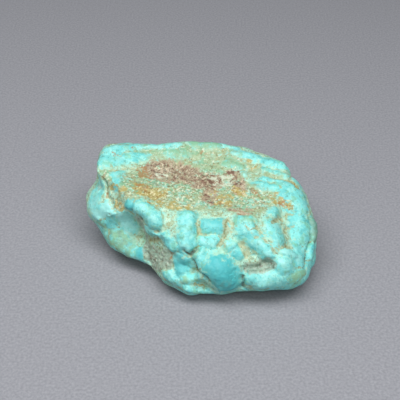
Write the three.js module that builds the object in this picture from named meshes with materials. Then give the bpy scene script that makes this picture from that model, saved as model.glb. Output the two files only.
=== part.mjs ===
// A raw turquoise nugget: one worn stone with a broad, gently tilted top, a diagonal flank on its
// near left, a shelf that sticks out below the top's left edge, and lobed near and right sides.
// Millimetres. +X runs along the stone, +Y towards its back, +Z up. The origin is the middle of
// the box round the stone, on the surface that it rests on.
import * as THREE from "three";
import { mergeVertices } from "three/addons/utils/BufferGeometryUtils.js";
import { ImprovedNoise } from "three/addons/math/ImprovedNoise.js";

const LENGTH = 28.1;
const WIDTH = 20.2;
const HEIGHT = 10.7;

// The rough is shaped round this height, a little below the middle of the stone.
const CORE_HEIGHT = 5;
const EDGE_SHARPNESS = 20; // higher gives crisper edges between the facets
const MESH_DETAIL = 20; // each of 20 starting triangles is cut into (this + 1) squared
const SAME_POINT = 1e-5;

// The broad facets of the rough. turn is the compass direction that a facet faces, from +X
// towards +Y, and rise its tilt above the horizon, both in degrees. out is its distance in
// millimetres from the core.
const FACETS = [
  { name: "top", turn: 310, rise: 84, out: 4.5 },
  { name: "underside", turn: 0, rise: -90, out: 5.2 },
  { name: "back bevel", turn: 92, rise: 50, out: 9.85 },
  { name: "back", turn: 92, rise: 5, out: 9.8 },
  { name: "back underside", turn: 90, rise: -45, out: 8.8 },
  { name: "far right bevel", turn: 60, rise: 46, out: 10.5 },
  { name: "right shoulder", turn: 18, rise: 8, out: 12 },
  { name: "right", turn: 358, rise: 0, out: 13.9 },
  { name: "right slope", turn: 338, rise: 46, out: 8.8 },
  { name: "near right underside", turn: 308, rise: -44, out: 12.4 },
  { name: "near right side", turn: 314, rise: -6, out: 14.6 },
  { name: "near underside", turn: 274, rise: -50, out: 8.9 },
  { name: "near side", turn: 272, rise: 8, out: 9.3 },
  { name: "near slope", turn: 268, rise: 50, out: 5.9 },
  { name: "near left underside", turn: 227, rise: -41, out: 8.5 },
  { name: "near left flank", turn: 231, rise: 14, out: 7.3 },
  { name: "left underside", turn: 194, rise: -16, out: 12.4 },
  { name: "left", turn: 183, rise: 0, out: 12.45 },
  { name: "far left corner", turn: 138, rise: 30, out: 14.7 },
  { name: "far left underside", turn: 148, rise: -28, out: 12.8 },
  { name: "far right underside", turn: 46, rise: -28, out: 12.2 },
];

// Ridges, lobes, hollows and creases on the faceted rough. Each follows a path of points, spreads
// to about reach on either side of it, and lifts the surface by lift, or sinks it where lift is
// negative.
const STROKES = [
  { name: "basin", reach: 5, lift: -0.6, path: [[-5, 4, 9.5], [1, 3, 9.2]] },
  { name: "back rim", reach: 1.6, lift: 0.4, path: [[-12, 7.5, 9], [-2, 8.6, 9.5], [4, 7.5, 9]] },
  { name: "left shelf", reach: 2.1, lift: 1.5, path: [[-12.6, 2.6, 5.6], [-12.4, 0.8, 5.4]] },
  { name: "shelf crease", reach: 0.9, lift: -0.8, path: [[-12.4, 4, 8.4], [-11.8, 1.8, 8.2]] },
  { name: "left block", reach: 1.7, lift: 1.1, path: [[-10.2, -2.4, 2.8], [-7, -5, 2.2]] },
  { name: "nose", reach: 1.5, lift: 0.7, path: [[-8.6, -2.2, 8.6], [-5.4, -4.8, 7.6]] },
  { name: "left slope", reach: 1.4, lift: 0.7, path: [[-11, 0.6, 7.6], [-9.4, -1, 6.8]] },
  { name: "upper seam", reach: 1, lift: -0.9, path: [[-8.2, -2, 6.2], [-7.6, -3.2, 4.6]] },
  { name: "lower seam", reach: 1.4, lift: -0.9, path: [[-7.6, -3.8, 4], [-6.8, -5, 2.4]] },
  { name: "near left lobe", reach: 1.8, lift: 0.8, path: [[-3.6, -7.8, 2.8], [-1.4, -8.8, 2.4]] },
  { name: "near left crease", reach: 0.8, lift: -0.8, path: [[-1.7, -8.2, 4.6], [0.3, -9.6, 2.5]] },
  { name: "near left hollow", reach: 1.7, lift: -1.4, path: [[-8.8, -2.6, 0], [-5.4, -4.4, 0]] },
  { name: "upright lobe", reach: 1.3, lift: 0.4, path: [[-2.4, -5.4, 8.4], [-2.2, -7, 6.8]] },
  { name: "blue lobe", reach: 1.8, lift: 0.5, path: [[1.6, -8.8, 5], [2.2, -9.2, 3.4]] },
  { name: "near crease", reach: 0.8, lift: -0.6, path: [[3.9, -9.2, 4.4], [4.2, -9.8, 2.4]] },
  { name: "near right lobe", reach: 1.8, lift: 0.4, path: [[5.6, -9, 3.6], [7, -8.8, 3.4]] },
  { name: "slanting lobe", reach: 1.3, lift: 0.35, path: [[4, -3.6, 8.6], [8, -6, 6.6]] },
  { name: "corner lobe", reach: 2, lift: 0.5, path: [[9.4, -7, 5.4], [9.8, -6.8, 5]] },
  { name: "near right brow", reach: 1.5, lift: 0.6, path: [[7.6, -9, 2.4], [11, -7.8, 2.4]] },
  { name: "near right hollow", reach: 2.1, lift: -1.6, path: [[8, -7.4, 0], [11.8, -4.8, 0]] },
  { name: "right lobe", reach: 2.8, lift: 1.4, path: [[12.4, 1.6, 5.8], [13, -1.8, 5]] },
  { name: "right notch", reach: 0.9, lift: -0.6, path: [[11.2, 5.6, 8], [12.2, 5, 6]] },
  { name: "right crease", reach: 0.7, lift: -0.8, path: [[13, 1.8, 5.6], [13.4, -3.4, 2.6]] },
  { name: "back hollow", reach: 2.4, lift: -1.1, path: [[-2.6, 9.8, 3], [0.6, 9.8, 4.6]] },
  { name: "back crease", reach: 1, lift: -0.9, path: [[-6.4, 9.4, 6.4], [-5.2, 9.6, 1]] },
  { name: "back left lobe", reach: 2, lift: 0.5, path: [[-9.6, 7.4, 4], [-8.6, 8, 2.4]] },
  { name: "back right lobe", reach: 2, lift: 0.4, path: [[5.4, 8.4, 3], [7.2, 7.6, 3.4]] },
  { name: "back right crease", reach: 1, lift: -0.9, path: [[3.2, 9.6, 6.4], [3.8, 9.4, 1]] },
  { name: "far right crease", reach: 1, lift: -0.8, path: [[9.6, 7, 5.6], [10, 6.4, 1]] },
];

// Two sizes of soft unevenness over the whole stone.
const SWELLS = [
  { size: 4.5, height: 0.35 },
  { size: 2.2, height: 0.14 },
];

function facing({ turn, rise }) {
  const around = THREE.MathUtils.degToRad(turn);
  const up = THREE.MathUtils.degToRad(rise);
  const level = Math.cos(up);
  return new THREE.Vector3(level * Math.cos(around), level * Math.sin(around), Math.sin(up));
}

const facets = FACETS.map((facet) => ({ ...facet, normal: facing(facet) }));

const strokes = STROKES.map((stroke) => ({
  ...stroke,
  points: stroke.path.map((spot) => new THREE.Vector3(...spot)),
}));

// A sphere of even triangles, with its points merged, so that they can be moved one by one.
function evenSphere() {
  const sphere = new THREE.IcosahedronGeometry(1, MESH_DETAIL);
  sphere.deleteAttribute("normal");
  sphere.deleteAttribute("uv");
  const merged = mergeVertices(sphere, SAME_POINT);
  merged.computeVertexNormals();
  return merged;
}

function movePoints(geometry, move) {
  const spots = geometry.getAttribute("position");
  const normals = geometry.getAttribute("normal");
  const point = new THREE.Vector3();
  const normal = new THREE.Vector3();
  for (let i = 0; i < spots.count; i++) {
    point.fromBufferAttribute(spots, i);
    normal.fromBufferAttribute(normals, i);
    move(point, normal);
    spots.setXYZ(i, point.x, point.y, point.z);
  }
  geometry.computeVertexNormals();
}

// How far the rough's surface is from the core in a direction: the facets' planes, blended.
function roughRadius(direction) {
  let sum = 0;
  for (const { normal, out } of facets) {
    const towards = Math.max(0, normal.dot(direction)) / out;
    sum += towards ** EDGE_SHARPNESS;
  }
  return sum ** (-1 / EDGE_SHARPNESS);
}

function distanceToPath(point, points) {
  const near = new THREE.Vector3();
  let least = Infinity;
  for (let i = 0; i + 1 < points.length; i++) {
    new THREE.Line3(points[i], points[i + 1]).closestPointToPoint(point, true, near);
    least = Math.min(least, near.distanceTo(point));
  }
  return least;
}

function strokesLift(point) {
  let lift = 0;
  for (const stroke of strokes) {
    const off = distanceToPath(point, stroke.points) / stroke.reach;
    lift += stroke.lift * Math.exp(-off * off);
  }
  return lift;
}

const noise = new ImprovedNoise();

function swellsLift(point) {
  let lift = 0;
  for (const { size, height } of SWELLS) {
    lift += height * noise.noise(point.x / size, point.y / size, point.z / size);
  }
  return lift;
}

// Brings the stone to its real size, standing on z = 0 with the origin under its middle.
function fitToSize(geometry) {
  geometry.computeBoundingBox();
  const size = geometry.boundingBox.getSize(new THREE.Vector3());
  const middle = geometry.boundingBox.getCenter(new THREE.Vector3());
  geometry.translate(-middle.x, -middle.y, -geometry.boundingBox.min.z);
  geometry.scale(LENGTH / size.x, WIDTH / size.y, HEIGHT / size.z);
}

function stoneGeometry() {
  const geometry = evenSphere();
  const spread = new THREE.Vector3(LENGTH, WIDTH, HEIGHT);
  movePoints(geometry, (point) => {
    point.multiply(spread).normalize();
    point.multiplyScalar(roughRadius(point));
    point.z += CORE_HEIGHT;
  });
  movePoints(geometry, (point, normal) => {
    point.addScaledVector(normal, strokesLift(point) + swellsLift(point));
    point.z = Math.max(0, point.z); // the worn flat that the stone rests on
  });
  fitToSize(geometry);
  return geometry;
}

const turquoise = new THREE.MeshStandardMaterial({
  color: "#7fcfc0",
  roughness: 0.55,
  metalness: 0,
});

const stone = new THREE.Mesh(stoneGeometry(), turquoise);
stone.name = "turquoise_nugget";

const nugget = new THREE.Group();
nugget.add(stone);

export default nugget;
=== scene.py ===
import math
from collections import namedtuple

import bmesh
import bpy
import numpy as np
from bpy.props import FloatProperty, FloatVectorProperty, IntProperty, PointerProperty
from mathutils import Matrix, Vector, noise


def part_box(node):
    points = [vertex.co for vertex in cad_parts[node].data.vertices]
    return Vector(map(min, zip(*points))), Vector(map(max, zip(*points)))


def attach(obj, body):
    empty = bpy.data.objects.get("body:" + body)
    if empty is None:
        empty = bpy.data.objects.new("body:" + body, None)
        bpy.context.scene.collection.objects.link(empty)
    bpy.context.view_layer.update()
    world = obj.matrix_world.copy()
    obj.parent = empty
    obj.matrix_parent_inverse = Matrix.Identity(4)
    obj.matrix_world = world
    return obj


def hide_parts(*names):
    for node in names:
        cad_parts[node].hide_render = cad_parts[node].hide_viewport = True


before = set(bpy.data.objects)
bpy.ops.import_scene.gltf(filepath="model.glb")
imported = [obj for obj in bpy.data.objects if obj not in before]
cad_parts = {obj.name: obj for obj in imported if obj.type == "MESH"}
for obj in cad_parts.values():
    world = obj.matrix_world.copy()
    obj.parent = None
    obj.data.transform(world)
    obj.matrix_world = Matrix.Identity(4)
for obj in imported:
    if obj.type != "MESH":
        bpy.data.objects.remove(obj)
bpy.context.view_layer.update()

bl_info = {
    "name": "Raw turquoise nugget",
    "version": (1, 0, 0),
    "blender": (4, 5, 0),
    "location": "3D View > Sidebar > Nugget",
    "description": "Sculpts and colours a raw turquoise nugget round its packed solid, on a plain floor",
    "category": "Add Mesh",
}

MM = 0.001
STONE = "turquoise_nugget"
LOW, HIGH = (np.array(corner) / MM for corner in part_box(STONE))

# Every place on the stone is a point of its box: how far along, how far back and how far up,
# each from 0 to 1. Sizes are in millimetres.

# The smooth nodules of turquoise. radius is half a nodule's width, rise how far it stands proud of
# the speckled ground round it, hue runs from -1, green, to 1, deep blue-green, and pale from 0 to 1
# is how chalky it is; on the shelf's facet and its brow it is painted light.
Lobe = namedtuple("Lobe", "name radius rise hue pale path")
NODULE_SPREAD = 1.1  # how much wider a nodule is than its radius says
NODULE_FOOT, NODULE_CROWN = 1.3, 0.1  # where it starts to rise and where it is full, in its radii
GROUND_DROP = 0.12  # how far the ground between the nodules sinks
LOBES = (
    Lobe("back left rim", 0.8, 0.1, 0.0, 0.5, ((0.10, 0.80, 1.00), (0.19, 0.85, 0.99), (0.28, 0.89, 0.96))),
    Lobe("far left corner", 1.1, 0.15, 0.1, 0.4, ((0.09, 0.72, 0.98),)),
    Lobe("left plate", 0.7, 0.12, 0.4, 0.5, ((0.13, 0.71, 0.97), (0.17, 0.73, 0.96))),
    Lobe("left streak", 0.6, 0.1, -0.3, 0.0, ((0.19, 0.76, 0.96), (0.27, 0.79, 0.94))),
    Lobe("left oval", 0.85, 0.25, 0.3, 0.4, ((0.16, 0.60, 0.94), (0.16, 0.52, 0.93))),
    Lobe("back rim", 0.5, 0.12, -0.1, 0.6, ((0.32, 0.87, 0.96), (0.40, 0.89, 0.96))),
    Lobe("back pool", 0.7, 0.1, -0.9, 0.0, ((0.37, 0.82, 0.94), (0.44, 0.83, 0.91))),
    Lobe("back green rim", 0.8, 0.1, -1.0, 0.2, ((0.48, 0.91, 0.95), (0.57, 0.91, 0.93))),
    Lobe("back right rim", 0.5, 0.15, 0.0, 0.5, ((0.60, 0.92, 0.92), (0.66, 0.89, 0.92))),
    Lobe("back right knob", 0.7, 0.2, 0.0, 0.5, ((0.66, 0.84, 0.91), (0.70, 0.83, 0.90))),
    Lobe("bright knob", 0.65, 0.25, 0.3, 0.4, ((0.72, 0.83, 0.89), (0.75, 0.82, 0.88))),
    Lobe("back green fold", 0.6, 0.15, -1.0, 0.0, ((0.62, 0.76, 0.88), (0.68, 0.74, 0.87))),
    Lobe("far right knob", 0.9, 0.25, 0.2, 0.2, ((0.80, 0.78, 0.87), (0.87, 0.77, 0.85))),
    Lobe("light fold", 0.4, 0.2, -0.5, 0.1, ((0.84, 0.68, 0.86), (0.88, 0.66, 0.84))),
    Lobe("upper fold", 0.35, 0.15, -0.2, 0.2, ((0.78, 0.72, 0.86), (0.83, 0.69, 0.86))),
    Lobe("lower fold", 0.5, 0.2, -0.1, 0.3, ((0.77, 0.63, 0.85), (0.88, 0.59, 0.84))),
    Lobe("bright streak", 0.75, 0.25, 0.0, 0.1, ((0.74, 0.58, 0.84), (0.84, 0.53, 0.83))),
    Lobe("pale knob", 0.6, 0.2, 0.0, 0.7, ((0.69, 0.68, 0.85),)),
    Lobe("right shoulder", 1.7, 0.35, 0.1, 0.3,
         ((0.86, 0.53, 0.82), (0.89, 0.53, 0.78), (0.92, 0.45, 0.70))),
    Lobe("bright bead", 0.85, 0.25, 0.4, 0.4, ((0.81, 0.36, 0.79),)),
    Lobe("right belly", 1.4, 0.25, 0.3, 0.3, ((0.92, 0.37, 0.64), (0.93, 0.27, 0.52))),
    Lobe("right slab", 1.1, 0.25, 0.2, 0.5, ((0.80, 0.24, 0.75), (0.82, 0.19, 0.69))),
    Lobe("right cheek", 1.1, 0.15, 0.0, 0.4, ((0.91, 0.21, 0.49), (0.91, 0.12, 0.45))),
    Lobe("green lens", 0.55, 0.25, -0.2, 0.7, ((0.84, 0.12, 0.61), (0.88, 0.13, 0.53))),
    Lobe("round corner", 1.4, 0.35, 0.0, 0.5, ((0.84, 0.06, 0.49),)),
    Lobe("right jaw", 1.0, 0.15, -1.0, 0.0, ((0.91, 0.08, 0.39), (0.88, 0.04, 0.35))),
    Lobe("outer flap", 0.7, 0.3, -0.8, 0.0, ((0.98, 0.41, 0.55), (0.98, 0.32, 0.47))),
    Lobe("flap's foot", 0.7, 0.3, 0.5, 0.0, ((0.97, 0.28, 0.42), (0.96, 0.21, 0.36))),
    Lobe("arch", 0.8, 0.2, -0.5, 0.1, ((0.67, 0.26, 0.83), (0.71, 0.25, 0.82))),
    Lobe("arch core", 0.65, 0.15, -0.3, 0.3, ((0.70, 0.21, 0.77),)),
    Lobe("slanting", 1.0, 0.4, 0.2, 0.5, ((0.68, 0.20, 0.75), (0.78, 0.11, 0.60))),
    Lobe("slanting foot", 0.6, 0.3, 0.5, 0.0, ((0.65, 0.12, 0.59), (0.66, 0.11, 0.57))),
    Lobe("pale pad", 0.65, 0.25, 0.2, 0.6, ((0.61, 0.15, 0.65), (0.64, 0.14, 0.64))),
    Lobe("teal pad", 0.9, 0.35, 0.6, 0.0, ((0.53, 0.24, 0.77), (0.59, 0.23, 0.78))),
    Lobe("upright", 1.05, 0.45, 0.3, 0.4, ((0.46, 0.28, 0.84), (0.45, 0.21, 0.77), (0.45, 0.13, 0.64))),
    Lobe("middle pale", 0.7, 0.3, 0.1, 0.5, ((0.51, 0.16, 0.68), (0.56, 0.16, 0.67))),
    Lobe("bright egg", 0.8, 0.45, 0.2, 0.4, ((0.50, 0.11, 0.60), (0.50, 0.08, 0.54))),
    Lobe("big blue", 1.65, 0.55, 0.9, 0.0, ((0.57, 0.04, 0.50), (0.62, 0.03, 0.36))),
    Lobe("front right", 0.9, 0.3, 0.3, 0.0, ((0.71, 0.02, 0.39),)),
    Lobe("front right slab", 1.2, 0.3, -0.3, 0.6, ((0.75, 0.01, 0.35), (0.83, 0.03, 0.36))),
    Lobe("front left foot", 0.8, 0.3, 0.2, 0.4, ((0.37, 0.09, 0.30), (0.40, 0.06, 0.28))),
    Lobe("front green", 0.6, 0.3, -0.7, 0.0, ((0.45, 0.06, 0.32), (0.49, 0.05, 0.34))),
    Lobe("near foot", 1.0, 0.05, -0.5, 0.3, ((0.36, 0.10, 0.10), (0.52, 0.02, 0.10), (0.72, 0.02, 0.14))),
    Lobe("right foot", 1.3, 0.05, -0.1, 0.1, ((0.76, 0.02, 0.18), (0.90, 0.06, 0.22), (0.97, 0.20, 0.26))),
    Lobe("left foot", 1.1, 0.05, -0.6, 0.0, ((0.07, 0.42, 0.38), (0.13, 0.36, 0.20), (0.24, 0.27, 0.14))),
    Lobe("front toe", 0.6, 0.2, -0.2, 0.0, ((0.45, 0.02, 0.22), (0.53, 0.03, 0.16))),
    Lobe("front teal", 0.9, 0.4, 0.6, 0.0, ((0.43, 0.12, 0.48), (0.43, 0.10, 0.38))),
    Lobe("front slope", 0.7, 0.35, 0.3, 0.3, ((0.36, 0.20, 0.67), (0.39, 0.15, 0.60))),
    Lobe("nose tip", 0.7, 0.4, 0.8, 0.0, ((0.21, 0.38, 0.84), (0.23, 0.37, 0.85))),
    Lobe("nose", 1.1, 0.5, 0.2, 0.5, ((0.25, 0.35, 0.86), (0.31, 0.28, 0.80))),
    Lobe("under the nose", 0.6, 0.2, 0.1, 0.4, ((0.29, 0.27, 0.64), (0.33, 0.23, 0.66))),
    Lobe("shelf", 1.0, 0.05, 0.0, 0.5, ((0.07, 0.62, 0.81), (0.06, 0.54, 0.72))),
    Lobe("shelf's tip", 0.8, 0.0, 0.0, 0.8, ((0.04, 0.52, 0.65),)),
    # The shelf's facet and its brow are painted pale as painted light, where light falls full on the facet.
    Lobe("shelf's facet", 0.95, 0.1, 0.0, 1.0, ((0.06, 0.46, 0.57), (0.11, 0.45, 0.66))),
    Lobe("facet's brow", 0.5, 0.3, 0.0, 1.0, ((0.07, 0.44, 0.54), (0.13, 0.42, 0.65))),
    Lobe("flank teal", 0.8, 0.15, 0.3, 0.0, ((0.13, 0.43, 0.57), (0.12, 0.42, 0.48))),
    Lobe("flank blue", 0.9, 0.15, 0.0, 0.9, ((0.18, 0.41, 0.64), (0.20, 0.40, 0.50))),
    Lobe("flank olive", 0.6, 0.1, -1.0, 0.0, ((0.09, 0.45, 0.47),)),
    # Flank green and flank toe are coloured darker as painted shade on the low left flank.
    Lobe("flank green", 1.3, 0.15, -1.0, 0.0, ((0.14, 0.38, 0.37), (0.19, 0.31, 0.30))),
    Lobe("flank toe", 0.9, 0.2, 0.9, 0.0, ((0.24, 0.29, 0.28),)),
)

# Cracks and crevices. width is half their width. tan is how strongly each is stained with limonite,
# dark how strongly painted shade and old dirt darken it.
Crack = namedtuple("Crack", "name width depth tan dark path")
CRACKS = (
    Crack("shelf line", 0.35, 0.35, 0.0, 0.5, ((0.08, 0.65, 0.98), (0.09, 0.57, 0.88), (0.11, 0.50, 0.79))),
    Crack("shelf line's end", 0.3, 0.25, 0.6, 0.0, ((0.11, 0.50, 0.79), (0.13, 0.44, 0.69))),
    Crack("facet's edge", 0.1, 0.1, 0.5, 0.0, ((0.08, 0.44, 0.53), (0.14, 0.43, 0.68))),
    Crack("nose's shadow", 0.2, 0.4, 0.0, 0.7, ((0.23, 0.36, 0.80), (0.25, 0.32, 0.71))),
    Crack("upper seam", 0.4, 0.3, 0.2, 0.3, ((0.25, 0.34, 0.67), (0.26, 0.35, 0.49))),
    Crack("lower seam", 0.4, 0.3, 0.1, 0.3, ((0.26, 0.35, 0.49), (0.28, 0.27, 0.37), (0.28, 0.23, 0.26))),
    Crack("nose pit", 0.3, 0.3, 0.7, 0.6, ((0.33, 0.23, 0.70),)),
    Crack("seam's branch", 0.35, 0.2, 1.0, 0.3, ((0.28, 0.29, 0.49), (0.32, 0.24, 0.56))),
    Crack("oval's line", 0.25, 0.12, 0.8, 0.0, ((0.12, 0.63, 0.96), (0.18, 0.66, 0.94), (0.24, 0.68, 0.92))),
    Crack("arch crack", 0.24, 0.25, 0.9, 0.5, ((0.72, 0.26, 0.82), (0.74, 0.22, 0.78), (0.76, 0.17, 0.71))),
    Crack("arch's return", 0.18, 0.2, 0.7, 0.3,
          ((0.76, 0.17, 0.71), (0.72, 0.18, 0.72), (0.69, 0.21, 0.78))),
    Crack("slanting crack", 0.22, 0.25, 0.8, 0.4,
          ((0.76, 0.17, 0.71), (0.79, 0.13, 0.65), (0.81, 0.11, 0.61))),
    Crack("lens line", 0.15, 0.2, 0.3, 0.6, ((0.81, 0.11, 0.61), (0.85, 0.10, 0.55))),
    Crack("upright vein", 0.5, 0.2, 1.0, 0.0, ((0.61, 0.25, 0.81), (0.60, 0.19, 0.73), (0.59, 0.14, 0.65))),
    Crack("pad's edge", 0.25, 0.15, 0.9, 0.0, ((0.50, 0.25, 0.80), (0.50, 0.20, 0.74), (0.53, 0.19, 0.72))),
    Crack("short vein", 0.2, 0.15, 0.8, 0.0, ((0.64, 0.25, 0.81), (0.63, 0.21, 0.75))),
    Crack("bead vein", 0.3, 0.2, 1.0, 0.2, ((0.80, 0.27, 0.77), (0.83, 0.32, 0.74), (0.85, 0.34, 0.70))),
    Crack("slab vein", 0.25, 0.12, 0.8, 0.0, ((0.85, 0.29, 0.67), (0.89, 0.32, 0.63))),
    Crack("slanting pit", 0.35, 0.2, 1.0, 0.1, ((0.67, 0.15, 0.66), (0.69, 0.11, 0.58))),
    Crack("right pit", 0.3, 0.15, 0.9, 0.1, ((0.83, 0.15, 0.65), (0.88, 0.19, 0.55))),
    Crack("upright's foot", 0.3, 0.4, 0.4, 0.9,
          ((0.44, 0.12, 0.61), (0.46, 0.11, 0.57), (0.49, 0.13, 0.62))),
    Crack("front crevice", 0.55, 0.6, 0.4, 1.0, ((0.47, 0.08, 0.50), (0.48, 0.07, 0.42))),
    Crack("crevice's tail", 0.3, 0.5, 0.2, 1.0,
          ((0.48, 0.07, 0.42), (0.52, 0.02, 0.42), (0.54, 0.01, 0.37))),
    Crack("front cleft", 0.35, 0.5, 0.0, 1.0, ((0.67, 0.03, 0.39), (0.67, 0.02, 0.25))),
    Crack("front hollow", 0.7, 0.45, 0.1, 0.1, ((0.68, 0.05, 0.44), (0.72, 0.06, 0.48), (0.78, 0.07, 0.50))),
    Crack("right fissure", 0.22, 0.45, 0.0, 0.9,
          ((0.97, 0.44, 0.60), (0.96, 0.29, 0.48), (0.94, 0.12, 0.37))),
    Crack("shoulder line", 0.15, 0.12, 0.6, 0.0, ((0.89, 0.42, 0.70), (0.95, 0.40, 0.62))),
    Crack("back fold", 0.2, 0.15, 0.3, 0.3, ((0.64, 0.78, 0.89), (0.70, 0.74, 0.87), (0.74, 0.71, 0.85))),
    Crack("upper fold line", 0.15, 0.15, 0.6, 0.3,
          ((0.78, 0.70, 0.86), (0.85, 0.73, 0.86), (0.88, 0.70, 0.83))),
    Crack("lower fold line", 0.2, 0.15, 0.7, 0.3,
          ((0.83, 0.63, 0.86), (0.90, 0.62, 0.81), (0.91, 0.59, 0.79))),
    Crack("right undercut", 1.5, 1.1, 0.0, 0.0, ((0.72, 0.08, 0.0), (0.79, 0.11, 0.02), (0.93, 0.23, 0.03))),
    Crack("left undercut", 1.4, 1.0, 0.0, 0.0, ((0.12, 0.42, 0.03), (0.19, 0.36, 0.02), (0.31, 0.27, 0.02))),
    Crack("near undercut", 1.1, 0.7, 0.0, 0.0, ((0.36, 0.18, 0.0), (0.50, 0.08, 0.0), (0.68, 0.07, 0.0))),
    Crack("top line", 0.25, 0.15, 0.0, 0.4, ((0.24, 0.55, 0.93), (0.32, 0.56, 0.90))),
)
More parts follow.
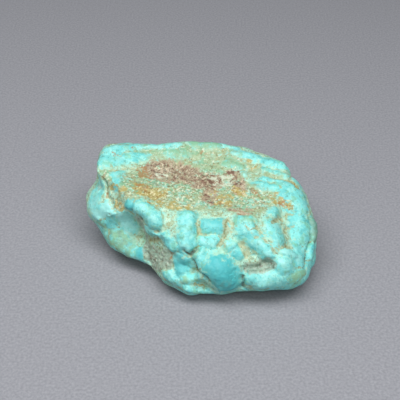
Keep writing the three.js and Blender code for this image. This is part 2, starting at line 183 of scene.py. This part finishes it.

# Patches of stain, of brown matrix and of painted shade, softest at their edges.
Patch = namedtuple("Patch", "kind radius strength path")
PATCHES = (
    Patch("khaki", 3.0, 0.9,
          ((0.24, 0.52, 0.93), (0.42, 0.48, 0.88), (0.62, 0.50, 0.84), (0.72, 0.45, 0.84))),
    Patch("khaki", 2.2, 0.7, ((0.45, 0.80, 0.92), (0.60, 0.82, 0.90), (0.68, 0.72, 0.87))),
    Patch("khaki", 1.2, 0.8, ((0.66, 0.36, 0.84), (0.72, 0.34, 0.84))),
    Patch("khaki", 1.2, 0.6, ((0.28, 0.80, 0.95), (0.44, 0.78, 0.92), (0.58, 0.76, 0.89))),
    Patch("khaki", 1.2, 0.5, ((0.74, 0.70, 0.86), (0.84, 0.63, 0.84), (0.90, 0.60, 0.80))),
    Patch("green", 1.1, 0.8, ((0.65, 0.47, 0.83), (0.73, 0.44, 0.83))),
    Patch("green", 0.7, 0.9, ((0.77, 0.47, 0.83), (0.81, 0.47, 0.82))),
    Patch("green", 1.2, 0.9, ((0.19, 0.53, 0.94), (0.24, 0.48, 0.93), (0.30, 0.55, 0.90))),
    Patch("green", 1.2, 1.0, ((0.41, 0.52, 0.87), (0.49, 0.52, 0.86))),
    Patch("green", 0.9, 0.9, ((0.09, 0.60, 0.95), (0.11, 0.53, 0.87))),
    Patch("green", 1.3, 0.6, ((0.20, 0.84, 0.98), (0.34, 0.86, 0.96), (0.52, 0.88, 0.93))),
    Patch("green", 1.0, 0.6, ((0.53, 0.70, 0.87), (0.58, 0.72, 0.87))),
    Patch("silt", 0.9, 1.0,
          ((0.25, 0.34, 0.66), (0.27, 0.33, 0.47), (0.28, 0.26, 0.36), (0.30, 0.20, 0.27))),
    Patch("silt", 1.3, 0.9, ((0.29, 0.23, 0.38), (0.33, 0.18, 0.36), (0.36, 0.16, 0.44))),
    Patch("silt", 0.9, 0.9, ((0.70, 0.06, 0.46), (0.78, 0.07, 0.50))),
    Patch("silt", 0.6, 0.5, ((0.07, 0.68, 0.84), (0.05, 0.56, 0.74))),
    Patch("matrix", 2.0, 1.0,
          ((0.32, 0.68, 0.89), (0.40, 0.68, 0.86), (0.49, 0.63, 0.87), (0.54, 0.61, 0.85))),
    Patch("matrix", 1.1, 0.8, ((0.63, 0.68, 0.85), (0.66, 0.62, 0.84), (0.67, 0.54, 0.84))),
    Patch("matrix", 1.0, 0.8, ((0.55, 0.56, 0.84), (0.55, 0.45, 0.82))),
    Patch("matrix", 1.0, 0.6, ((0.65, 0.36, 0.84), (0.70, 0.33, 0.84))),
    Patch("cream", 1.0, 1.0, ((0.57, 0.62, 0.84), (0.62, 0.62, 0.83))),
    Patch("cream", 0.6, 1.0, ((0.33, 0.64, 0.89), (0.35, 0.64, 0.88))),
    Patch("cream", 0.6, 0.8, ((0.67, 0.34, 0.84),)),
    Patch("maroon", 0.6, 1.0, ((0.53, 0.61, 0.86), (0.55, 0.60, 0.85))),
    Patch("maroon", 0.5, 1.0, ((0.61, 0.68, 0.85), (0.66, 0.68, 0.85))),
    Patch("maroon", 0.6, 0.8, ((0.64, 0.62, 0.84), (0.66, 0.59, 0.84))),
    Patch("maroon", 0.5, 1.0, ((0.54, 0.48, 0.83), (0.55, 0.44, 0.82))),
    Patch("maroon", 0.4, 0.6, ((0.63, 0.35, 0.84),)),
    Patch("maroon", 0.6, 0.5, ((0.69, 0.06, 0.46), (0.79, 0.07, 0.51))),
    Patch("ochre", 0.9, 0.9, ((0.24, 0.50, 0.93), (0.29, 0.50, 0.91))),
    Patch("ochre", 1.2, 1.0, ((0.28, 0.45, 0.91), (0.34, 0.47, 0.88))),
    Patch("ochre", 0.9, 0.8, ((0.31, 0.38, 0.89), (0.40, 0.37, 0.87))),
    Patch("ochre", 0.7, 0.8, ((0.13, 0.52, 0.87), (0.15, 0.49, 0.88))),
    Patch("ochre", 0.7, 1.0, ((0.14, 0.45, 0.76), (0.17, 0.41, 0.76))),
    Patch("ochre", 0.5, 0.7, ((0.18, 0.48, 0.93), (0.20, 0.50, 0.94))),
    Patch("ochre", 0.7, 1.0, ((0.58, 0.42, 0.82), (0.61, 0.40, 0.83))),
    Patch("ochre", 0.6, 0.9, ((0.65, 0.54, 0.84), (0.68, 0.50, 0.84))),
    Patch("ochre", 0.9, 0.7, ((0.56, 0.50, 0.83), (0.62, 0.46, 0.83))),
    Patch("ochre", 0.6, 0.8, ((0.72, 0.77, 0.87), (0.76, 0.74, 0.86))),
    Patch("ochre", 0.6, 0.7, ((0.46, 0.37, 0.85), (0.48, 0.33, 0.85))),
    Patch("ochre", 0.7, 0.8, ((0.81, 0.49, 0.82), (0.83, 0.46, 0.80))),
    Patch("ochre", 0.8, 0.8, ((0.83, 0.44, 0.80), (0.88, 0.44, 0.73))),
    Patch("ochre", 0.5, 0.7, ((0.49, 0.04, 0.26), (0.51, 0.04, 0.21))),
    Patch("ochre", 0.5, 0.8, ((0.90, 0.62, 0.81), (0.92, 0.58, 0.79))),
    Patch("rust", 0.8, 1.0, ((0.25, 0.68, 0.91), (0.27, 0.62, 0.91))),
    Patch("rust", 0.6, 0.8, ((0.24, 0.52, 0.93), (0.28, 0.50, 0.91))),
    Patch("rust", 0.5, 0.9, ((0.84, 0.43, 0.79), (0.86, 0.44, 0.77))),
    Patch("rust", 0.45, 1.0, ((0.73, 0.52, 0.85), (0.75, 0.49, 0.84))),
    Patch("rust", 0.4, 0.7, ((0.59, 0.41, 0.82),)),
    Patch("rust", 0.35, 0.7, ((0.12, 0.79, 0.99), (0.14, 0.78, 0.99))),
    Patch("rust", 0.35, 0.5, ((0.21, 0.84, 0.98),)),
    Patch("rust", 0.5, 0.6, ((0.51, 0.85, 0.91), (0.53, 0.84, 0.90))),
    Patch("rust", 0.5, 0.5, ((0.10, 0.53, 0.82), (0.12, 0.48, 0.77))),
    Patch("rust", 0.5, 0.6, ((0.37, 0.16, 0.51), (0.38, 0.15, 0.48))),
    # Dull dark green: mostly painted shade on the left flank, the outer flap and the low front, and a real
    # dark green line on the top.
    Patch("green_and_shade", 1.2, 0.55, ((0.14, 0.38, 0.37), (0.19, 0.31, 0.30))),
    Patch("green_and_shade", 0.8, 1.0, ((0.98, 0.41, 0.55), (0.98, 0.32, 0.47))),
    Patch("green_and_shade", 0.7, 0.45, ((0.60, 0.02, 0.34), (0.64, 0.03, 0.40))),
    Patch("green_and_shade", 0.8, 0.7, ((0.68, 0.05, 0.46), (0.78, 0.07, 0.50))),
    Patch("green_and_shade", 0.7, 0.5, ((0.24, 0.55, 0.93), (0.32, 0.56, 0.90))),
)

PATCH_KINDS = ("khaki", "green", "silt", "matrix", "cream", "maroon", "ochre", "rust", "green_and_shade")

# The direction that the tables above describe the stone from: its front and top. What faces away
# from it, by more than TURNED_AWAY, gets scattered nodules.
SHOWN_SIDE = np.array((0, -0.77, 0.64))
TURNED_AWAY = -0.3

# The least and the most of a scattered nodule's radius, stretch, rise, hue and pale. stretch is
# its length in its radii.
SCATTERED = ((0.5, 0, 0.1, -0.6, 0), (1.6, 2, 0.3, 0.8, 0.6))

# How the outlines of everything in the tables wander: the size and reach of each warp, in
# millimetres, and its seed.
WARPS = ((1.3, 0.32, 2), (0.5, 0.16, 8))

# The finest relief: how wide its features are and how far they stand out or sink, in millimetres.
CRUMB_SIZE, CRUMB_HEIGHT = 0.55, 0.18
GRAIN_SIZE = 0.7
SKIN_SIZE, SKIN_HEIGHT = 1.3, 0.06
PIT_SIZE, PIT_DEPTH = 0.9, 0.1
MATRIX_DEPTH = 0.1

# How far apart in the noise two seeds lie, and what brings a grain's edge to 1.
SEED_STEP = np.array((17.3, 5.1, 11.7))
GRAIN_SPREAD = 1.4


def in_box(place):
    """The point in millimetres at a place given in fractions of the stone's box."""
    return LOW + (HIGH - LOW) * np.array(place)


def path_distance(points, path):
    """How far each point is from a path of places, in millimetres."""
    ends = [in_box(place) for place in path]
    if len(ends) == 1:
        ends = ends * 2
    nearest = np.full(len(points), np.inf)
    for start, end in zip(ends, ends[1:]):
        run = end - start
        length = max(run @ run, 1e-9)
        along = np.clip((points - start) @ run / length, 0, 1)
        away = np.linalg.norm(points - start - along[:, None] * run, axis=1)
        nearest = np.minimum(nearest, away)
    return nearest


def soft_noise(points, size, octaves=1, seed=0):
    """Noise from about -1 to 1, with features size millimetres across."""
    spots = points / size + SEED_STEP * seed
    return np.array([noise.fractal(Vector(spot), 1.0, 2.0, octaves) for spot in spots])


def grains(points, size):
    """From 0 at a grain's middle to 1 at its edge, for round grains size millimetres across."""
    reaches = [noise.voronoi(Vector(spot))[0][0] * GRAIN_SPREAD for spot in points / size]
    return np.minimum(1.0, reaches)


def warped(points, size, reach, seed):
    """The points, each moved up to reach millimetres, so that outlines drawn on them wander."""
    moves = [soft_noise(points, size, 1, seed + axis / 3) for axis in range(3)]
    return points + reach * np.column_stack(moves)


def smooth(low, high, value):
    """0 below low, 1 above high and an S-curve between them."""
    t = np.clip((value - low) / (high - low), 0, 1)
    return t * t * (3 - 2 * t)


def scattered_lobes(clay, settings):
    """Nodules for the sides that the tables above leave bare: at random, clear of each other."""
    draw = np.random.default_rng(settings.seed)
    points, normals = clay.points, clay.normals()
    room = np.where(normals @ SHOWN_SIDE < TURNED_AWAY, np.inf, 0)
    for thing in LOBES + PATCHES:
        room = np.minimum(room, path_distance(points, thing.path) - thing.radius)
    found = []
    for number in draw.permutation(len(points))[:settings.tries]:
        radius, stretch, rise, hue, pale = draw.uniform(*SCATTERED)
        along = np.cross(normals[number], draw.normal(size=3))
        if room[number] < radius:
            continue
        ends = (points[number], points[number] + stretch * radius * along / np.linalg.norm(along))
        path = [tuple((end - LOW) / (HIGH - LOW)) for end in ends]
        lobe = Lobe("scattered", radius, rise, hue, pale, path)
        room = np.minimum(room, path_distance(points, lobe.path) - settings.packing * radius)
        found.append(lobe)
    return tuple(found)


def lobe_field(points, lobes):
    """What the nodules do at each point: reach is 0 in the middle of the nearest one and 1 at its
    edge, crease is 1 where two of them meet, height is in mm, and hue and pale are blended."""
    nearest = np.full(len(points), np.inf)
    second = np.full(len(points), np.inf)
    height = np.zeros(len(points))
    weights = np.full(len(points), 0.05)  # lets hue and pale fade to 0 away from the nodules
    hue = np.zeros(len(points))
    pale = np.zeros(len(points))
    for lobe in lobes:
        reach = path_distance(points, lobe.path) / (lobe.radius * NODULE_SPREAD)
        second = np.minimum(second, np.maximum(nearest, reach))
        nearest = np.minimum(nearest, reach)
        height = np.maximum(height, lobe.rise * smooth(NODULE_FOOT, NODULE_CROWN, reach))
        weight = np.exp(-3 * reach ** 2)
        weights += weight
        hue += weight * lobe.hue
        pale += weight * lobe.pale
    crease = np.exp(-((second - nearest) / 0.2) ** 2) * smooth(1.6, 1.1, nearest)
    return {
        "reach": nearest, "crease": crease, "height": height,
        "hue": hue / weights, "pale": pale / weights,
    }


class Clay:
    """The stone's mesh while it is being shaped: its points and normals, in millimetres."""

    def __init__(self, mesh):
        self.mesh = mesh
        self.points = self.read(mesh.vertices, "co") / MM

    def read(self, rows, name):
        """The named three numbers of every row, one row below the other."""
        values = np.empty(len(rows) * 3, np.float32)
        rows.foreach_get(name, values)
        return values.reshape(-1, 3).astype(float)

    def normals(self):
        """The surface's directions, once the mesh has taken over the points."""
        self.mesh.vertices.foreach_set("co", (self.points * MM).ravel())
        self.mesh.update()
        return self.read(self.mesh.vertex_normals, "vector")

    def lift(self, amount):
        """Moves every point along its normal, and keeps the worn flat underneath flat."""
        self.points += self.normals() * amount[:, None]
        self.points[:, 2] = np.maximum(self.points[:, 2], 0)

    def paint(self, name, values):
        """Stores a mask on the mesh, for the material to read."""
        layer = self.mesh.attributes.new(name, "FLOAT", "POINT")
        layer.data.foreach_set("value", values.astype(np.float32))


def base_mesh(settings):
    """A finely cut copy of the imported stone."""
    shape = bmesh.new()
    shape.from_mesh(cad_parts[STONE].data)
    bmesh.ops.remove_doubles(shape, verts=shape.verts, dist=0.001 * MM)
    bmesh.ops.subdivide_edges(
        shape, edges=shape.edges, cuts=settings.cuts, smooth=1.0, use_grid_fill=True
    )
    bmesh.ops.smooth_vert(
        shape, verts=shape.verts, factor=0.5, use_axis_x=True, use_axis_y=True, use_axis_z=True
    )
    bmesh.ops.recalc_face_normals(shape, faces=shape.faces)
    for face in shape.faces:
        face.smooth = True
    mesh = bpy.data.meshes.new("nugget")
    shape.to_mesh(mesh)
    shape.free()
    return mesh


def sculpt(clay, settings):
    """Nodules, cracks, matrix relief and pits, and the masks that colour them."""
    points = clay.points
    wandering = points
    for size, reach, seed in WARPS:
        wandering = warped(wandering, size, reach, seed)
    nodules = lobe_field(wandering, LOBES + scattered_lobes(clay, settings))

    mask = {kind: np.zeros(len(points)) for kind in PATCH_KINDS}
    for patch in PATCHES:
        away = path_distance(wandering, patch.path) / patch.radius
        mask[patch.kind] = np.maximum(mask[patch.kind], patch.strength * smooth(1.25, 0.6, away))

    tan = np.zeros(len(points))
    dark = np.zeros(len(points))
    crack_depth = np.zeros(len(points))
    for crack in CRACKS:
        line = np.exp(-(path_distance(wandering, crack.path) / crack.width) ** 2)
        crack_depth = np.maximum(crack_depth, crack.depth * line)
        tan = np.maximum(tan, crack.tan * line)
        # How strongly painted shade and dirt darken each crack.
        dark = np.maximum(dark, crack.dark * line ** 2)

    ground = smooth(0.8, 1.2, nodules["reach"])
    crumbly = np.maximum.reduce([
        mask["matrix"], mask["ochre"] * 0.7, mask["silt"] * 0.7, mask["khaki"] * 0.4,
    ])
    calm = 1 - 0.7 * mask["matrix"]
    clay.lift(calm * settings.lobe_height * (nodules["height"] - GROUND_DROP) - crack_depth)
    crumbs = soft_noise(points, CRUMB_SIZE, 3, 3) - 0.7 * grains(points, GRAIN_SIZE)
    skin = soft_noise(points, SKIN_SIZE, 4, 4)
    pits = smooth(0.35, 0.8, soft_noise(points, PIT_SIZE, 2, 5))
    rough = np.maximum(crumbly, 0.3 * ground)
    raised = CRUMB_HEIGHT * rough * crumbs + SKIN_HEIGHT * skin
    clay.lift(raised - MATRIX_DEPTH * mask["matrix"] - PIT_DEPTH * pits * ground)

    islands = 0.55 + 0.45 * smooth(0.7, 1.1, nodules["reach"])
    mask["mottle"] = np.maximum(mask["khaki"], mask["green"])
    clay.paint("reach", np.clip(nodules["reach"], 0, 1.5))
    clay.paint("skin", np.ones(len(points)))  # for the colours that lie all over the stone
    here_and_there = smooth(-0.2, 0.4, soft_noise(points, 2.2, 2, 9))
    # A ring of painted shade, partly olive stain, where each nodule meets the ground.
    clay.paint("edge", here_and_there * np.exp(-((nodules["reach"] - 1.05) / 0.15) ** 2))
    # Painted shade, partly olive stain, in the creases where two nodules meet.
    clay.paint("crease", nodules["crease"] * smooth(-0.4, 0.4, soft_noise(points, 2.5, 1, 6)))
    clay.paint("blue", np.maximum(nodules["hue"], 0))
    clay.paint("leafy", np.maximum(-nodules["hue"], 0))
    clay.paint("pale", nodules["pale"])
    clay.paint("vein", tan)
    # Painted shade and dirt in the cracks and crevices, and in the pits.
    clay.paint("dark", np.maximum(dark, 0.4 * pits * ground))
    for kind, values in mask.items():
        clay.paint(kind, values * (islands if kind in ("khaki", "matrix", "green", "mottle") else 1))


def linear(code):
    """The linear colour, with alpha 1, of an sRGB hex code."""
    channels = (int(code[i:i + 2], 16) / 255 for i in (1, 3, 5))
    return tuple(c / 12.92 if c <= 0.04045 else ((c + 0.055) / 1.055) ** 2.4 for c in channels) + (1.0,)


def add_node(tree, kind, inputs=None, **settings):
    """Adds a node. inputs gives sockets, by name or number, a value or another node's output."""
    node = tree.nodes.new(kind)
    for name, value in settings.items():
        setattr(node, name, value)
    for name, value in (inputs or {}).items():
        if isinstance(value, bpy.types.NodeSocket):
            tree.links.new(value, node.inputs[name])
        else:
            node.inputs[name].default_value = value
    return node


# The sockets of a colour Mix node.
FACTOR, UNDER, OVER, MIXED = 0, 6, 7, 2

# The colours of the stone, each laid over those above it. mask is the name of a painted mask,
# grain the size in millimetres of the noise that breaks it up, ragged how much it does so, and
# start and full the mask's values where the colour begins and where it covers.
Layer = namedtuple("Layer", "mask grain ragged start full strength colour")
LAYERS = (
    # Clear turquoise: teal, chalky and greenish clouds, then what each nodule is.
    Layer("skin", 1.8, 2.2, 0.9, 1.7, 0.75, "#5FC8C6"),
    Layer("skin", 0.7, 2.6, 1.1, 1.6, 0.7, "#A4EFE2"),
    Layer("skin", 1.1, 2.4, 1.1, 1.6, 0.7, "#86CBA8"),
    Layer("skin", 0.4, 3.0, 1.3, 1.9, 0.75, "#67AFA0"),
    Layer("blue", 1.6, 0.5, 0.1, 1.0, 0.9, "#45BFC4"),
    Layer("leafy", 0.9, 1.6, 0.2, 1.1, 0.9, "#8CC098"),
    Layer("pale", 0.9, 1.0, 0.2, 1.0, 0.9, "#A9F2EA"),
    # The pale ground between the nodules, and its tan and olive specks.
    Layer("reach", 0.7, 1.3, 0.75, 1.35, 0.9, "#AFDFC6"),
    Layer("reach", 0.9, 2.0, 1.3, 1.9, 0.7, "#C9EACB"),
    Layer("reach", 0.6, 2.2, 1.5, 2.0, 0.8, "#A3B489"),
    Layer("reach", 0.35, 2.6, 1.6, 2.1, 0.7, "#A6A878"),
    Layer("reach", 0.22, 2.8, 1.8, 2.2, 0.75, "#5E6646"),
    # Painted shade, with some olive stain, along the nodules' edges and in the creases between them.
    Layer("edge", 0.5, 1.8, 0.4, 1.1, 0.75, "#9AA97C"),
    # Painted shade in the creases between nodules.
    Layer("crease", 0.5, 1.8, 0.5, 1.1, 0.8, "#A8B488"),
    Layer("crease", 0.35, 2.0, 0.85, 1.3, 0.85, "#6C7A58"),
    # Khaki and green stain on the top, mottled from dark brown to cream.
    Layer("khaki", 1.0, 0.8, 0.2, 0.8, 0.9, "#A3B98F"),
    Layer("green", 1.0, 2.0, 0.3, 1.0, 0.85, "#84B68C"),
    Layer("mottle", 1.3, 2.0, 0.9, 1.2, 0.8, "#84BE9C"),
    Layer("mottle", 0.9, 2.4, 1.0, 1.3, 0.8, "#A0DCCA"),
    Layer("mottle", 0.6, 2.4, 1.0, 1.4, 0.75, "#B0A678"),
    Layer("mottle", 0.3, 2.8, 1.0, 1.6, 0.75, "#7A6E48"),
    Layer("mottle", 0.3, 2.8, 1.0, 1.6, 0.85, "#DCE6CA"),
    # Grey-brown silt in the hollows.
    Layer("silt", 0.7, 1.2, 0.3, 0.9, 0.85, "#A3B8A4"),
    Layer("silt", 0.4, 2.4, 1.2, 1.6, 0.85, "#C9D0C2"),
    Layer("silt", 0.4, 2.4, 1.0, 1.5, 0.75, "#7E7A66"),
    # Pinkish brown matrix with olive, cream, maroon and nearly black grains.
    Layer("matrix", 0.7, 2.0, 0.4, 0.9, 0.9, "#AC987E"),
    Layer("matrix", 0.9, 2.2, 1.1, 1.5, 0.7, "#A9A988"),
    Layer("matrix", 0.5, 2.4, 1.1, 1.5, 0.8, "#D9CDB2"),
    Layer("matrix", 0.6, 2.4, 1.1, 1.5, 0.8, "#83604E"),
    Layer("matrix", 0.2, 2.6, 1.05, 1.5, 0.75, "#5A4436"),
    Layer("cream", 0.6, 2.4, 0.6, 1.2, 0.85, "#CDD8C0"),
    Layer("maroon", 0.45, 2.6, 0.7, 1.2, 0.8, "#6C4638"),
    # Ochre and rust.
    Layer("ochre", 0.8, 2.6, 0.6, 1.1, 0.85, "#B2A058"),
    Layer("ochre", 0.5, 2.6, 1.1, 1.6, 0.8, "#967438"),
    Layer("ochre", 0.3, 2.6, 1.1, 1.5, 0.8, "#DDD9A8"),
    Layer("rust", 0.45, 2.4, 0.6, 1.1, 0.8, "#A67A48"),
    # Dull green patches, veins of limonite, and crevices darkened by painted shade and dirt.
    # Painted shade as a dull dark green, with a real dark green line on the top.
    Layer("green_and_shade", 0.7, 0.9, 0.3, 1.1, 0.7, "#6E9384"),
    Layer("vein", 0.5, 1.4, 0.2, 0.7, 0.85, "#B4BE96"),
    Layer("vein", 0.35, 1.8, 0.65, 1.2, 0.8, "#827E4E"),
    # Painted shade and dirt in the crevices and pits.
    Layer("dark", 0.4, 0.7, 0.3, 0.9, 0.8, "#4E4A38"),
)


def stone_colour(tree, place):
    """The colour of the stone: clear turquoise under every layer, each broken up by noise."""
    colour = linear("#80E2DD")
    for number, layer in enumerate(LAYERS):
        mask = add_node(tree, "ShaderNodeAttribute", attribute_name=layer.mask).outputs["Fac"]
        offset = add_node(tree, "ShaderNodeMapping", {"Vector": place, "Location": (0.1 * number, 0, 0)})
        patchy = add_node(tree, "ShaderNodeTexNoise", {
            "Vector": offset.outputs[0], "Scale": 1 / (layer.grain * MM), "Detail": 3.0, "Roughness": 0.65,
        })
        centred = add_node(tree, "ShaderNodeMath", {0: patchy.outputs["Fac"], 1: -0.5}, operation="ADD")
        ragged = add_node(tree, "ShaderNodeMapRange", {
            "Value": mask, "From Min": 0.0, "From Max": 0.35, "To Min": 0.0, "To Max": 2 * layer.ragged,
        })
        broken = add_node(tree, "ShaderNodeMath", {
            0: centred.outputs[0], 1: ragged.outputs[0], 2: mask,
        }, operation="MULTIPLY_ADD")
        amount = add_node(tree, "ShaderNodeMapRange", {
            "Value": broken.outputs[0], "From Min": layer.start, "From Max": layer.full,
            "To Min": 0.0, "To Max": layer.strength,
        }, interpolation_type="SMOOTHSTEP")
        mixed = add_node(tree, "ShaderNodeMix", {
            FACTOR: amount.outputs[0], UNDER: colour, OVER: linear(layer.colour),
        }, data_type="RGBA")
        colour = mixed.outputs[MIXED]
    return colour


def turquoise():
    """Natural, unpolished turquoise: waxy and almost opaque, with a soft broad gloss on the worn
    nodules, chalky where it is pale, and a dull, crumbly brown matrix."""
    material = bpy.data.materials.new("turquoise")
    material.use_nodes = True
    tree = material.node_tree
    tree.nodes.clear()
    place = add_node(tree, "ShaderNodeTexCoord").outputs["Object"]
    colour = stone_colour(tree, place)
    matrix = add_node(tree, "ShaderNodeAttribute", attribute_name="matrix").outputs["Fac"]
    dull = add_node(tree, "ShaderNodeMapRange", {
        "Value": matrix, "From Min": 0.2, "From Max": 0.8, "To Min": 0.48, "To Max": 0.85,
    })
    fine = add_node(tree, "ShaderNodeTexNoise", {
        "Vector": place, "Scale": 1 / (0.3 * MM), "Detail": 4.0, "Roughness": 0.7,
    })
    bump = add_node(tree, "ShaderNodeBump", {
        "Strength": 0.8, "Distance": 0.12 * MM, "Height": fine.outputs["Fac"],
    })
    shader = add_node(tree, "ShaderNodeBsdfPrincipled", {
        "Base Color": colour, "Roughness": dull.outputs[0], "IOR": 1.61, "Normal": bump.outputs[0],
    })
    add_node(tree, "ShaderNodeOutputMaterial", {"Surface": shader.outputs[0]})
    return material


def grey_card(settings):
    """Matt grey card: an even pale grey with a very fine paper grain."""
    material = bpy.data.materials.new("grey card")
    material.use_nodes = True
    tree = material.node_tree
    tree.nodes.clear()
    place = add_node(tree, "ShaderNodeTexCoord").outputs["Object"]
    grain = add_node(tree, "ShaderNodeTexNoise", {
        "Vector": place, "Scale": 1 / (0.3 * MM), "Detail": 2.0,
    })
    shade = add_node(tree, "ShaderNodeMapRange", {
        "Value": grain.outputs["Fac"], "From Min": 0.3, "From Max": 0.7, "To Min": 0.87, "To Max": 1.13,
    })
    tinted = add_node(tree, "ShaderNodeMix", {
        FACTOR: 1.0, UNDER: (*settings.floor_colour, 1.0), OVER: shade.outputs[0],
    }, data_type="RGBA", blend_type="MULTIPLY")
    shader = add_node(tree, "ShaderNodeBsdfPrincipled", {
        "Base Color": tinted.outputs[MIXED], "Roughness": 0.9, "Specular IOR Level": 0.2,
    })
    add_node(tree, "ShaderNodeOutputMaterial", {"Surface": shader.outputs[0]})
    return material


# The lights: places and sizes in metres, and each one's share of the light power.
Softbox = namedtuple("Softbox", "name spot size share")
SOFTBOXES = (
    Softbox("softbox", (-0.01, -0.04, 0.2), (0.3, 0.1), 1.0),
    Softbox("front fill", (0.0, -0.16, 0.16), (0.34, 0.06), 0.32),
)

# In millimetres: the point that the camera's distance is measured from, and how far beside and
# above it the camera aims, so that the stone sits a little below the middle of the frame.
STONE_MIDDLE = (0.3, 0, 5)
AIM_ASIDE, AIM_ABOVE = -0.24, 2.17


class NuggetSettings(bpy.types.PropertyGroup):
    cuts: IntProperty(
        name="Cuts", description="New points along each edge of the packed stone",
        default=3, min=0, max=3,
    )
    packing: FloatProperty(
        name="Packing", description="How far apart scattered nodules stay, in their radii",
        default=0.9, min=0,
    )
    tries: IntProperty(
        name="Tries", description="How many places are tried for scattered nodules",
        default=3000, min=0,
    )
    seed: IntProperty(
        name="Seed", description="Changes the scattered nodules", default=7, min=0,
    )
    lobe_height: FloatProperty(
        name="Nodule height", description="How strongly the nodules stand out", default=1.15, min=0, max=3,
    )


class StudioSettings(bpy.types.PropertyGroup):
    floor_colour: FloatVectorProperty(
        name="Floor colour", description="The card that the stone lies on", subtype="COLOR",
        size=3, default=linear("#96979D")[:3], min=0, max=1,
    )
    elevation: FloatProperty(
        name="Elevation", description="How far above the horizon the camera stands",
        default=math.radians(40), subtype="ANGLE",
    )
    distance: FloatProperty(
        name="Distance", description="From the camera to the stone", default=114 * MM, unit="LENGTH",
    )
    lens: FloatProperty(name="Lens", description="Focal length in mm", default=85.0, unit="CAMERA")
    light_power: FloatProperty(
        name="Light power", description="Power of the softbox above the stone", default=0.55, unit="POWER",
    )


class NUGGET_OT_stone(bpy.types.Operator):
    """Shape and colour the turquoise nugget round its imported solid"""

    bl_idname = "nugget.stone"
    bl_label = "Turquoise nugget"

    def execute(self, context):
        settings = context.scene.nugget
        clay = Clay(base_mesh(settings))
        sculpt(clay, settings)
        clay.normals()
        clay.mesh.materials.append(turquoise())
        stone = bpy.data.objects.new("nugget", clay.mesh)
        context.scene.collection.objects.link(stone)
        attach(stone, "root")
        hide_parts(STONE)
        return {"FINISHED"}


class NUGGET_OT_stage(bpy.types.Operator):
    """Lay the floor, hang the lights and set up the camera"""

    bl_idname = "nugget.stage"
    bl_label = "Floor, lights and camera"

    def execute(self, context):
        settings = context.scene.studio
        self.lay_floor(context, settings)
        self.hang_lights(context, settings)
        self.set_camera(context, settings)
        context.scene.view_settings.view_transform = "Standard"
        return {"FINISHED"}

    def lay_floor(self, context, settings):
        shape = bmesh.new()
        bmesh.ops.create_grid(shape, x_segments=1, y_segments=1, size=1.0)
        mesh = bpy.data.meshes.new("floor")
        shape.to_mesh(mesh)
        shape.free()
        mesh.materials.append(grey_card(settings))
        floor = bpy.data.objects.new("floor", mesh)
        context.scene.collection.objects.link(floor)

    def hang_lights(self, context, settings):
        for box in SOFTBOXES:
            light = bpy.data.lights.new(box.name, "AREA")
            light.shape = "RECTANGLE"
            light.size, light.size_y = box.size
            light.energy = box.share * settings.light_power
            lamp = bpy.data.objects.new(box.name, light)
            lamp.location = box.spot
            lamp.rotation_euler = (-Vector(box.spot)).to_track_quat("-Z", "Y").to_euler()
            context.scene.collection.objects.link(lamp)
        world = bpy.data.worlds.new("studio")
        world.use_nodes = True
        world.node_tree.nodes["Background"].inputs["Color"].default_value = linear("#E6EAF0")
        world.node_tree.nodes["Background"].inputs["Strength"].default_value = 0.03
        context.scene.world = world

    def set_camera(self, context, settings):
        lens = bpy.data.cameras.new("camera")
        lens.lens = settings.lens
        lens.sensor_width = 36.0
        lens.clip_start = MM
        camera = bpy.data.objects.new("camera", lens)
        middle = Vector(STONE_MIDDLE) * MM
        back = Vector((0, -math.cos(settings.elevation), math.sin(settings.elevation)))
        up = Vector((0, math.sin(settings.elevation), math.cos(settings.elevation)))
        aim = middle + up * AIM_ABOVE * MM + Vector((AIM_ASIDE * MM, 0, 0))
        camera.location = middle + back * settings.distance
        camera.rotation_euler = (aim - camera.location).to_track_quat("-Z", "Y").to_euler()
        context.scene.collection.objects.link(camera)
        context.scene.camera = camera


class NUGGET_PT_panel(bpy.types.Panel):
    """Lists the steps that make the nugget and its stage"""

    bl_idname = "NUGGET_PT_panel"
    bl_label = "Raw turquoise nugget"
    bl_space_type = "VIEW_3D"
    bl_region_type = "UI"
    bl_category = "Nugget"

    def draw(self, context):
        for group, step in (("nugget", NUGGET_OT_stone), ("studio", NUGGET_OT_stage)):
            column = self.layout.column()
            settings = getattr(context.scene, group)
            for name in settings.bl_rna.properties.keys():
                if name not in ("name", "rna_type"):
                    column.prop(settings, name)
            column.operator(step.bl_idname)


CLASSES = (NuggetSettings, StudioSettings, NUGGET_OT_stone, NUGGET_OT_stage, NUGGET_PT_panel)


def register():
    for kind in CLASSES:
        bpy.utils.register_class(kind)
    bpy.types.Scene.nugget = PointerProperty(type=NuggetSettings)
    bpy.types.Scene.studio = PointerProperty(type=StudioSettings)


def unregister():
    del bpy.types.Scene.studio
    del bpy.types.Scene.nugget
    for kind in reversed(CLASSES):
        bpy.utils.unregister_class(kind)


def main():
    register()
    bpy.ops.nugget.stone()
    bpy.ops.nugget.stage()


if __name__ == "__main__":
    main()
